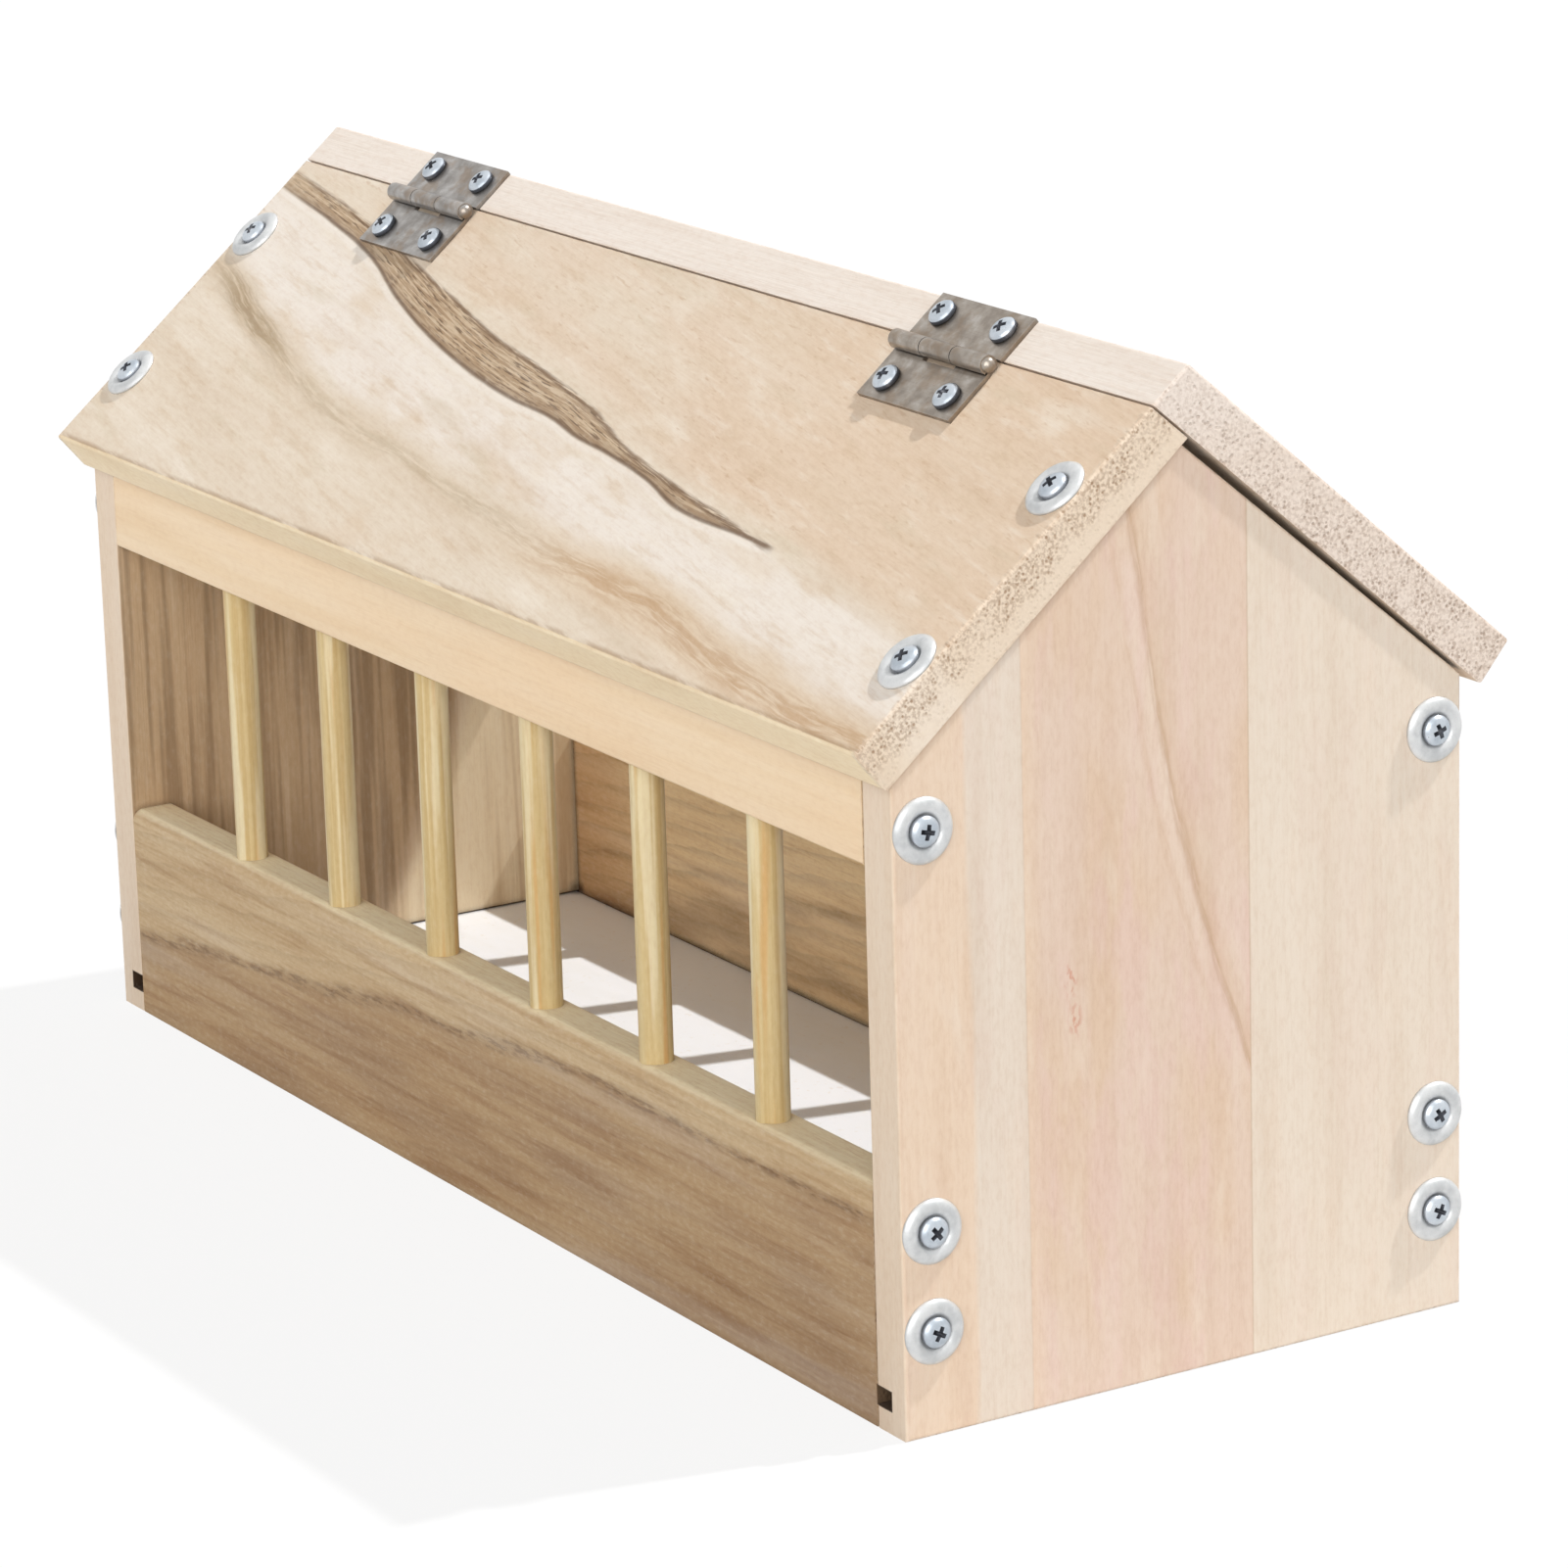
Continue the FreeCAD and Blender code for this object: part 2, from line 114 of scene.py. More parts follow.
class Shade:
    """Nodes of a material or of the world, with short words for them. Values are numbers, colours
    or sockets."""

    def __init__(self, owner, output="ShaderNodeOutputMaterial"):
        self.owner = owner
        owner.use_nodes = True
        self.tree = owner.node_tree
        self.tree.nodes.clear()
        self.output = self.tree.nodes.new(output)

    def put(self, socket, value):
        """Set a socket to a value, or link another socket to it."""
        if isinstance(value, bpy.types.NodeSocket):
            self.tree.links.new(value, socket)
        else:
            socket.default_value = value

    def node(self, kind, inputs=(), **settings):
        made = self.tree.nodes.new(kind)
        for key, value in settings.items():
            setattr(made, key, value)
        for key, value in dict(inputs).items():
            self.put(made.inputs[key], value)
        return made

    def show(self, shader):
        """Let a shader node be what is seen."""
        self.put(self.output.inputs["Surface"], shader.outputs[0])

    def math(self, operation, *values):
        made = self.node("ShaderNodeMath", operation=operation)
        for socket, value in zip(made.inputs, values):
            self.put(socket, value)
        return made.outputs[0]

    def add(self, a, b):
        return self.math("ADD", a, b)

    def minus(self, a, b):
        return self.math("SUBTRACT", a, b)

    def times(self, a, b):
        return self.math("MULTIPLY", a, b)

    def divide(self, a, b):
        return self.math("DIVIDE", a, b)

    def size_of(self, value):
        return self.math("ABSOLUTE", value)

    def larger(self, a, b):
        return self.math("MAXIMUM", a, b)

    def distance(self, a, b):
        """Length of the hypotenuse over a and b."""
        return self.math("SQRT", self.add(self.times(a, a), self.times(b, b)))

    def product(self, first, *others):
        for value in others:
            first = self.times(first, value)
        return first

    def step(self, value, start, end, low=0.0, high=1.0):
        """Smooth step: low before start, high after end."""
        values = {"Value": value, "From Min": start, "From Max": end, "To Min": low, "To Max": high}
        made = self.node("ShaderNodeMapRange", values, interpolation_type="SMOOTHSTEP")
        return made.outputs["Result"]

    def near(self, value, reach):
        """1 where a value is 0, fading to 0 at reach on both sides."""
        return self.step(self.size_of(value), reach, reach * NEAR_CORE)

    def mix(self, a, b, factor, blend="MIX"):
        """Colour a, with b laid over it by a factor."""
        made = self.node("ShaderNodeMix", data_type="RGBA", blend_type=blend)
        self.put(made.inputs["Factor"], factor)
        self.put(made.inputs[MIX_A], a)
        self.put(made.inputs[MIX_B], b)
        return made.outputs[MIX_RESULT]

    def combine(self, x, y, z):
        return self.node("ShaderNodeCombineXYZ", {"X": x, "Y": y, "Z": z}).outputs[0]

    def noise(self, vector, size, detail=2.0, rough=0.5):
        """Noise around 0.5 whose blotches are about size across."""
        values = {"Vector": vector, "Scale": 1.0 / size, "Detail": detail, "Roughness": rough}
        return self.node("ShaderNodeTexNoise", values).outputs["Fac"]

    def sway(self, noise, width):
        """Noise turned into a shift to both sides, over a width."""
        return self.times(self.minus(noise, 0.5), width)

    def dots(self, vector, size):
        """Distance from the middle of the nearest dot, in shares of the dots' spacing."""
        values = {"Vector": vector, "Scale": 1.0 / size}
        return self.node("ShaderNodeTexVoronoi", values).outputs["Distance"]

    def line(self, along, points, reach, height):
        """Height of a smooth line through given (along, across) points. reach and height are
        the (start, end) of the ranges that the points lie in."""
        values = {"Value": along, "From Min": reach[0], "From Max": reach[1]}
        share = self.node("ShaderNodeMapRange", values).outputs["Result"]
        curve = self.node("ShaderNodeFloatCurve", {"Value": share})
        run, rise = reach[1] - reach[0], height[1] - height[0]
        places = [((a - reach[0]) / run, (b - height[0]) / rise) for a, b in points]
        track = curve.mapping.curves[0].points
        for a, b in places[1:-1]:
            track.new(a, b)
        track[0].location = places[0]
        track[len(track) - 1].location = places[-1]
        for point in track:
            point.handle_type = "AUTO_CLAMPED"
        curve.mapping.update()
        values = {"Value": curve.outputs["Value"], "To Min": height[0], "To Max": height[1]}
        return self.node("ShaderNodeMapRange", values).outputs["Result"]

    def finish(self, colour, roughness, bump, depth, metallic=0.0, specular=0.5):
        """Join everything in one surface shader. depth is the bump's height in metres."""
        relief = self.node("ShaderNodeBump", {"Height": bump, "Distance": depth})
        self.show(self.node("ShaderNodeBsdfPrincipled", {
            "Base Color": colour, "Roughness": roughness, "Metallic": metallic,
            "Specular IOR Level": specular, "Normal": relief.outputs[0]}))
        return self.owner


class Surface(Shade):
    """Material of a piece: its place in millimetres, along and across its grain, the way that it
    faces, and the tints that are laid over its ground colour."""

    def __init__(self, name, ground, seed, grain="X"):
        super().__init__(bpy.data.materials.new(name))
        self.colour = ground
        self.seed = seed
        coordinates = self.node("ShaderNodeTexCoord").outputs
        place = self.node("ShaderNodeVectorMath", {0: coordinates["Object"], "Scale": MILLI},
                          operation="SCALE")
        self.x, self.y, self.z = self.node("ShaderNodeSeparateXYZ", {0: place.outputs[0]}).outputs
        facing = self.node("ShaderNodeSeparateXYZ", {0: coordinates["Normal"]}).outputs
        self.normal_x, self.normal_y, self.normal_z = facing
        self.along, self.across, self.through = self.x, self.y, self.z
        if grain == "Z":
            self.along, self.through = self.z, self.x

    def grained(self, stretch, shift=0.0):
        """Place with the grain's length divided by stretch, so that noise runs in streaks."""
        start = self.seed * SEED_STEP + shift
        return self.combine(self.add(self.divide(self.along, stretch), start),
                            self.add(self.across, start * ACROSS_STEP),
                            self.add(self.through, start * THROUGH_STEP))

    def streaks(self, size, stretch=1.0, shift=0.0, detail=2.0, rough=0.5):
        """Noise around 0.5 in streaks about size wide and stretch times as long."""
        return self.noise(self.grained(stretch, shift), size, detail, rough)

    def tint(self, colour, *shares):
        """Lay a colour over what is there, by the product of some shares."""
        self.colour = self.mix(self.colour, colour, self.product(*shares))

    def darker(self, colour):
        """What is there, multiplied by a colour."""
        return self.mix(self.colour, colour, 1.0, "MULTIPLY")

    def edge(self, width):
        """1 on edges rounded within the given width in metres, 0 on flat faces."""
        rounded = self.node("ShaderNodeBevel", {"Radius": width}, samples=2).outputs[0]
        flat = self.node("ShaderNodeNewGeometry").outputs["Normal"]
        turn = self.node("ShaderNodeVectorMath", {0: rounded, 1: flat}, operation="DOT_PRODUCT")
        return self.step(turn.outputs["Value"], 0.99, 0.8)

    def crevice(self, reach, unshaded=0.8, shadowed=0.3):
        """1 deep in narrow places, 0 in the open, looking as far as reach in metres. unshaded and
        shadowed are the open shares of the surroundings that give 0 and 1. At an inside corner the
        open share is 0.5."""
        around = self.node("ShaderNodeAmbientOcclusion", {"Distance": reach}, samples=4)
        return self.step(around.outputs["AO"], unshaded, shadowed)

    def corner_shade(self, share):
        """Painted shade: a dark line about 1 mm wide along inside corners, where two pieces meet.
        """
        self.tint(srgb(0.20, 0.135, 0.09), self.crevice(0.004, unshaded=0.78, shadowed=0.52), share)


class Wood(Surface):
    """Bare wood: finish_wood lays its fine grain, pores and darker edges, partly wear and partly
    painted shade, over the other tints. end is 1 on end grain, and porous is how many pores show
    there."""

    def __init__(self, name, ground, seed, grain="X"):
        super().__init__(name, ground, seed, grain)
        facing = self.normal_z if grain == "Z" else self.normal_x
        self.end = self.step(self.size_of(facing), 0.3, 0.7)
        self.porous = 1.0

    def towards(self, direction):
        """Place along a direction that has no X in it."""
        return self.add(self.times(self.y, direction.y), self.times(self.z, direction.z))

    def strands(self, offset, size, stretch, shift, detail, rough):
        """Noise around 0.5 in streaks beside a line along X, offset being the place across it."""
        place = self.combine(self.divide(self.x, stretch), offset, shift)
        return self.noise(place, size, detail, rough)

    def groove_height(self):
        """1 at the height of the floor's groove, 0 above and below it."""
        return self.times(self.step(self.z, GROOVE_LOW - GROOVE_BLUR, GROOVE_LOW),
                          self.step(self.z, GROOVE_HIGH + GROOVE_BLUR, GROOVE_HIGH))

    def rings(self, heart, width, wander):
        """Growth rings around a heart line along the grain at (across, through), as 0 to 1 within
        a ring of the given width."""
        reach = self.distance(self.minus(self.across, heart[0]), self.minus(self.through, heart[1]))
        sway = self.sway(self.streaks(38.0, stretch=14.0, shift=5.0, detail=3.0), wander)
        turn = self.math("FRACT", self.divide(self.add(reach, sway), width))
        return self.times(self.step(turn, 0.15, 0.88), self.step(turn, 1.0, 0.9))

    def finish_wood(self, strength=1.0, fibres=0.4, vessels=0.5, pores=1.0, rough=0.62, depth=1.0,
                    end_colour=srgb(0.94, 0.87, 0.785), pore_colour=srgb(0.62, 0.50, 0.38)):
        """Soft belts, fine fibres and a few vessel strokes along the grain, pores on the ends,
        edges darkened in patches, partly wear and partly painted shade. depth is the fibres' relief
        as a share of WOOD_RELIEF."""
        face = self.minus(1.0, self.end)
        fine = self.streaks(0.8, stretch=24.0, rough=0.6)
        grit = self.streaks(1.1, stretch=2.5, shift=31.0, detail=3.0, rough=0.65)
        broad = self.streaks(8.0, stretch=11.0, shift=11.0)
        strokes = self.step(self.streaks(0.7, stretch=13.0, shift=23.0, detail=1.0), 0.62, 0.74)
        dark = self.darker(srgb(0.82, 0.71, 0.60))
        self.tint(dark, self.step(fine, 0.42, 0.75), face, fibres * strength)
        self.tint(dark, self.step(grit, 0.45, 0.7), face, 0.4 * strength)
        self.tint(dark, self.step(broad, 0.48, 0.74), face, 0.4 * strength)
        self.tint(dark, strokes, face, 0.6 * vessels)
        light = self.mix(self.colour, srgb(1.0, 0.98, 0.95), 0.35)
        self.tint(light, self.step(broad, 0.48, 0.25), face, 0.5 * strength)
        self.tint(light, self.step(grit, 0.5, 0.28), face, 0.5 * strength)

        # End grain: a soft mottle with small round pores in it
        section = self.combine(0.0, self.across, self.through)
        mottle = self.step(self.noise(section, 0.95, rough=0.6), 0.4, 0.62)
        spread = self.step(self.noise(section, 6.0, 3.0, 0.6), 0.34, 0.58, low=0.45)
        pore = self.times(self.step(self.dots(section, 1.3), 0.38, 0.16), spread)
        self.tint(end_colour, self.end, 0.75)
        self.tint(pore_colour, mottle, spread, self.end, self.times(self.porous, 0.5 * pores))
        self.tint(pore_colour, pore, self.end, self.times(self.porous, 0.66 * pores))

        # Edges darkened in patches: partly wear, partly painted shade.
        edge_wear_and_shade = self.step(self.streaks(3.0, stretch=3.0, shift=51.0), 0.4, 0.66)
        self.tint(dark, self.edge(0.0012), edge_wear_and_shade, 0.6)

        dents = self.add(self.times(strokes, 0.5 * vessels), self.product(pore, self.end, 0.8))
        relief = self.minus(self.times(fine, 0.5), dents)
        gloss = self.step(broad, 0.3, 0.75, low=rough - 0.07, high=rough + 0.1)
        return self.finish(self.colour, gloss, relief, WOOD_RELIEF * depth, specular=0.3)


def front_roof_wood():
    """Front slope: a slanting brown streak of torn fibres, a whitish belt below it, then a soft
    grey-brown band that turns orange towards the right end of the eave."""
    wood = Wood("front_roof_wood", srgb(0.905, 0.845, 0.765), seed=1)
    level = wood.minus(wood.towards(front_up), front_eave.dot(front_up) * MILLI)
    wood.across = wood.add(level, wood.times(wood.x, ROOF_SLANT))
    wood.through = wood.towards(front_out)
    wobble = wood.sway(wood.streaks(7.0, stretch=5.0, shift=61.0, rough=0.6), 5.0)
    ragged = wood.sway(wood.streaks(1.5, stretch=11.0, shift=67.0, detail=3.0, rough=0.7), 1.8)
    upper, lower, band = [wood.line(wood.x, points, BOARD_REACH, SLOPE_HEIGHT)
                          for points in (STREAK_UPPER, STREAK_LOWER, SOFT_BAND)]
    side = wood.add(level, wobble)
    off_band = wood.minus(side, band)
    over_lower = wood.minus(wood.add(level, wood.times(wobble, 0.15)), lower)
    under_upper = wood.minus(upper, wood.add(level, ragged))

    # Colour of the belts: white between the streak and the band, cream below, tan above and to the
    # right, all of it clouded with soft patches
    cloud = wood.streaks(15.0, stretch=2.4, shift=81.0, detail=3.0, rough=0.55)
    belt = wood.times(wood.step(off_band, 1.0, 10.0), wood.step(wood.minus(lower, side), -1.0, 6.0))
    wood.tint(srgb(0.945, 0.905, 0.86), belt, wood.step(cloud, 0.75, 0.45, low=0.45, high=0.95))
    tan = wood.step(wood.streaks(19.0, stretch=3.0, shift=71.0), 0.35, 0.65)
    above = wood.step(wood.minus(level, upper), 0.0, 8.0)
    wood.tint(srgb(0.89, 0.80, 0.705), tan, above, 0.7)
    wood.tint(srgb(0.89, 0.79, 0.685), above, wood.step(wood.x, -20.0, 110.0), 0.7)
    wood.tint(srgb(0.945, 0.90, 0.835), wood.step(cloud, 0.44, 0.28), 0.5)
    wood.tint(srgb(0.87, 0.775, 0.665), wood.step(cloud, 0.54, 0.74), 0.5)
    olive = wood.streaks(8.0, stretch=5.0, shift=91.0, detail=3.0, rough=0.6)
    wood.tint(srgb(0.83, 0.765, 0.655), wood.step(olive, 0.56, 0.76), 0.4)
    blotch = wood.streaks(2.8, stretch=6.0, shift=93.0, detail=4.0, rough=0.62)
    wood.tint(srgb(0.84, 0.74, 0.62), wood.step(blotch, 0.5, 0.72), 0.4)
    wood.tint(srgb(0.95, 0.905, 0.845), wood.step(blotch, 0.48, 0.28), 0.4)
    fleck = wood.streaks(1.1, stretch=5.0, shift=95.0, rough=0.6)
    wood.tint(srgb(0.79, 0.66, 0.52), wood.step(fleck, 0.6, 0.74), above, 0.4)

    # The soft band: a long smudge at the left, faint lines in the middle, orange-brown streaks at
    # the right
    strands = wood.strands(off_band, 1.3, stretch=16.0, shift=5.0, detail=3.0, rough=0.65)
    thready = wood.step(strands, 0.36, 0.6)
    wood.tint(srgb(0.84, 0.76, 0.655), wood.near(off_band, 9.0), 0.4)
    wood.tint(srgb(0.76, 0.68, 0.565), wood.near(off_band, 3.2), thready, 0.55)
    smudge = wood.times(wood.near(wood.add(wood.x, 160.0), 46.0), wood.near(off_band, 6.5))
    wood.tint(srgb(0.77, 0.685, 0.56), smudge, 0.5)
    wood.tint(srgb(0.60, 0.50, 0.375), smudge, thready, 0.6)
    right = wood.step(wood.x, 0.0, 80.0)
    under = wood.add(off_band, 1.0)
    wood.tint(srgb(0.885, 0.775, 0.645), right, wood.near(under, 11.0), 0.45)
    wood.tint(srgb(0.77, 0.63, 0.485), thready, right, wood.near(under, 6.0), 0.7)

    # The streak: tan, full of long torn brown fibres along it, a dark line at its lower edge and a
    # painted highlight, a pale line, just below that. Its left end is blurred and its right end
    # runs out to a point.
    run = wood.step(wood.x, 119.0, 113.0)
    inside = wood.product(wood.step(over_lower, 0.0, 0.6), wood.step(under_upper, -0.3, 0.7), run)
    beside = wood.minus(level, wood.times(wood.add(upper, lower), 0.5))
    torn = wood.strands(beside, 0.75, stretch=26.0, shift=3.0, detail=3.0, rough=0.65)
    split = wood.strands(beside, 0.6, stretch=15.0, shift=9.0, detail=2.0, rough=0.6)
    clear = wood.step(wood.x, -198.0, -170.0, low=0.35)
    dark_line, foot = wood.minus(over_lower, 0.3), wood.minus(over_lower, 0.9)
    # Painted highlight: a pale line just below the streak's lower edge.
    wood.tint(srgb(0.97, 0.94, 0.905), wood.near(wood.add(over_lower, 1.2), 1.6), run, 0.55)
    wood.tint(srgb(0.815, 0.725, 0.61), inside, 0.95)
    wood.tint(srgb(0.64, 0.525, 0.40), wood.step(torn, 0.42, 0.56), inside, clear, 0.75)
    wood.tint(srgb(0.40, 0.305, 0.22), wood.step(split, 0.53, 0.64), inside, clear, 0.8)
    wood.tint(srgb(0.60, 0.50, 0.40), wood.near(foot, 2.2), inside, 0.5)
    wood.tint(srgb(0.42, 0.33, 0.26), wood.near(dark_line, 0.9), run, clear, 0.8)
    fringe = wood.product(wood.near(wood.minus(under_upper, 0.4), 1.3), run, clear)
    wood.tint(srgb(0.47, 0.37, 0.28), fringe, wood.step(torn, 0.36, 0.5), 0.75)

    # The sawn edge along the eave is painted yellower and paler, as painted light, with a worn
    # brown line above it. The speckle of the end grain spills over both ends, and is thin along
    # their lower half.
    # Painted light: the eave's sawn face is lifted out of its shade with a pale yellow.
    wood.tint(srgb(1.0, 0.925, 0.79), wood.step(wood.normal_y, -0.67, -0.74))
    worn = wood.step(wood.streaks(2.5, stretch=6.0, shift=97.0, detail=3.0, rough=0.65), 0.3, 0.56)
    eave_line = wood.times(wood.step(level, 0.05, 0.3), wood.step(level, 1.9, 0.5))
    wood.tint(srgb(0.66, 0.54, 0.41), eave_line, worn, 0.6)
    spill = wood.sway(wood.noise(wood.combine(wood.x, level, 0.0), 2.5, 3.0, 0.7), 6.0)
    frayed = wood.step(wood.add(wood.size_of(wood.x), spill), 196.0, 197.6)
    wood.end = wood.larger(wood.end, wood.times(frayed, 0.7))
    bottom = front_eave.dot(front_out) * MILLI
    ripple = wood.sway(wood.noise(wood.combine(0.0, level, 4.0), 9.0), 5.0)
    wood.porous = wood.step(wood.add(wood.through, ripple), bottom + 3.0, bottom + 6.5, low=0.15)
    return wood.finish_wood(strength=0.34, fibres=0.25, vessels=0.05, depth=0.4,
                            pore_colour=srgb(0.58, 0.44, 0.31))


def lid_wood():
    """Rear slope: pale and even at its planed edge, a little darker and streaky on its back."""
    wood = Wood("lid_wood", srgb(0.945, 0.90, 0.855), seed=2)
    down = wood.step(wood.z, 222.0, 205.0)
    wood.tint(srgb(0.885, 0.80, 0.705), down, 0.8)
    arcs = wood.rings((30.0, 105.0), 7.5, wander=18.0)
    wood.tint(srgb(0.80, 0.69, 0.57), arcs, down, 0.42)
    stain = wood.step(wood.streaks(20.0, stretch=7.0, shift=15.0, detail=3.0), 0.5, 0.7)
    wood.tint(srgb(0.81, 0.705, 0.59), stain, down, 0.6)
    wood.porous = wood.step(wood.z, 215.0, 180.0, low=0.7, high=1.2)
    return wood.finish_wood(strength=0.3, vessels=0.1, end_colour=srgb(0.945, 0.89, 0.845),
                            pore_colour=srgb(0.68, 0.59, 0.52))


def end_panel_wood(name, side, seed, inner):
    """End panel of three edge-glued strips with upright grain. Each strip has its own colour, and a
    pale streak beside a brown line crosses the middle one. side is -1 for the left panel and 1 for
    the right. inner is how strongly its inner face carries a painted sunlit patch, a browner tone
    that is partly painted shade, and streaks."""
    wood = Wood(name, srgb(0.92, 0.825, 0.73), seed, grain="Z")
    drifting = wood.add(wood.y, wood.sway(wood.streaks(6.0, stretch=12.0, shift=3.0), 4.0))
    middle = wood.times(wood.step(drifting, FRONT_JOINT - 0.5, FRONT_JOINT + 6.0),
                        wood.step(wood.y, REAR_JOINT + 0.15, REAR_JOINT - 0.15))
    rear = wood.step(wood.y, REAR_JOINT - 0.15, REAR_JOINT + 0.15)
    band = wood.times(wood.step(drifting, PALE_BAND - 1.0, PALE_BAND + 1.0),
                      wood.step(wood.y, FRONT_JOINT + 0.2, FRONT_JOINT - 0.2))
    wood.tint(srgb(0.91, 0.85, 0.785), band)
    wood.tint(srgb(0.90, 0.805, 0.73), middle)
    wood.tint(srgb(0.92, 0.86, 0.79), rear)
    tan = wood.step(wood.streaks(22.0, stretch=3.5, shift=9.0), 0.44, 0.64)
    wood.tint(srgb(0.88, 0.765, 0.65), tan, middle, 0.6)
    flush = wood.step(wood.streaks(9.0, stretch=4.0, shift=19.0, detail=3.0, rough=0.6), 0.46, 0.66)
    wood.tint(srgb(0.90, 0.785, 0.73), flush, wood.add(middle, 0.25), 0.55)
    cream = wood.step(wood.streaks(10.0, stretch=4.0, shift=27.0, detail=3.0, rough=0.6), 0.52, 0.7)
    wood.tint(srgb(0.93, 0.86, 0.785), cream, 0.5)

    # The slanting streak, its lower end at the rear joint
    track = wood.line(wood.z, PANEL_STREAK, PANEL_HEIGHT, PANEL_DEPTH)
    wobble = wood.sway(wood.streaks(5.0, stretch=9.0, shift=39.0), 3.0)
    offset = wood.add(wood.minus(wood.y, track), wobble)
    high = wood.step(wood.z, 60.0, 110.0)
    beside = wood.combine(offset, wood.times(wood.z, 0.06), 7.0)
    thready = wood.step(wood.noise(beside, 0.9, rough=0.6), 0.3, 0.6)
    brown = wood.times(wood.step(offset, 7.0, 0.5), wood.step(offset, -0.5, 0.5))
    second_line = wood.near(wood.add(offset, 5.0), 1.6)
    wood.tint(srgb(0.94, 0.865, 0.785), wood.near(wood.add(offset, 2.6), 2.4), middle, high, 0.25)
    wood.tint(srgb(0.86, 0.745, 0.63), brown, middle, 0.5)
    wood.tint(srgb(0.77, 0.635, 0.51), wood.near(offset, 1.7), thready, middle, 0.55)
    wood.tint(srgb(0.84, 0.71, 0.59), second_line, thready, middle, high, 0.35)

    # Two small reddish marks, and the joints
    flecks = wood.step(wood.streaks(1.0, stretch=2.0, shift=43.0), 0.48, 0.6)
    for y, z in RED_MARKS:
        away = wood.distance(wood.minus(wood.y, y), wood.times(wood.minus(wood.z, z), 0.45))
        wood.tint(srgb(0.82, 0.54, 0.44), wood.step(away, 2.6, 0.4), flecks, 0.6)
    for joint, share in ((FRONT_JOINT, 0.15), (REAR_JOINT, 0.4)):
        wood.tint(srgb(0.76, 0.64, 0.52), wood.near(wood.minus(wood.y, joint), 0.35), share)
    # Painted light: the faces towards the front are paler.
    wood.tint(srgb(0.935, 0.865, 0.775), wood.step(wood.normal_y, -0.6, -0.8, high=0.6))

    # Inner face: a pale patch towards the back that is painted sunlight, browner elsewhere as its
    # wood and as painted shade, with brown upright streaks, and the floor's groove darkened as
    # painted shade
    inside = wood.step(wood.times(wood.normal_x, -side), 0.4, 0.8)
    belts = wood.streaks(4.5, stretch=30.0, shift=29.0, rough=0.6)
    sunlit_patch = wood.step(wood.minus(wood.y, wood.times(wood.z, 0.45)), -14.0, -2.0)
    out_of_sun = wood.minus(1.0, wood.times(sunlit_patch, 0.9))
    # Painted sunlight: a pale patch towards the back of the inner face.
    wood.tint(srgb(0.98, 0.91, 0.78), inside, sunlit_patch, inner)
    wood.tint(srgb(0.84, 0.725, 0.56), inside, sunlit_patch, wood.step(belts, 0.42, 0.66), inner * 0.6)
    # Browner out of that patch: partly its wood, partly painted shade.
    wood.tint(srgb(0.775, 0.665, 0.53), inside, out_of_sun, inner)
    wood.tint(srgb(0.59, 0.485, 0.365), inside, out_of_sun, wood.step(belts, 0.46, 0.62), inner * 0.75)
    wood.tint(srgb(0.87, 0.785, 0.66), inside, out_of_sun, wood.step(belts, 0.4, 0.28), inner * 0.6)
    # Painted shade: the floor's groove is dark inside.
    groove_depth = wood.step(wood.size_of(wood.x), GROOVE_BOTTOM + 2 * GROOVE_BLUR, GROOVE_BOTTOM)
    groove = wood.times(wood.groove_height(), groove_depth)
    wood.tint(srgb(0.21, 0.13, 0.07), groove, 0.95)

    # Painted shade in the narrow gap between the rear slope and the lid. This painted shade and the
    # groove's hide the end grain.
    rear_slope = wood.near(wood.minus(wood.normal_y, math.sin(PITCH)), 0.2)
    gap_shade = wood.times(rear_slope, wood.crevice(0.006, unshaded=0.9, shadowed=0.45))
    wood.tint(srgb(0.24, 0.17, 0.115), gap_shade, 0.9)
    wood.end = wood.times(wood.end, wood.minus(1.0, wood.larger(gap_shade, groove)))
    wood.corner_shade(wood.times(inside, 0.7))
    return wood.finish_wood(strength=0.32, fibres=0.25, vessels=0.08)


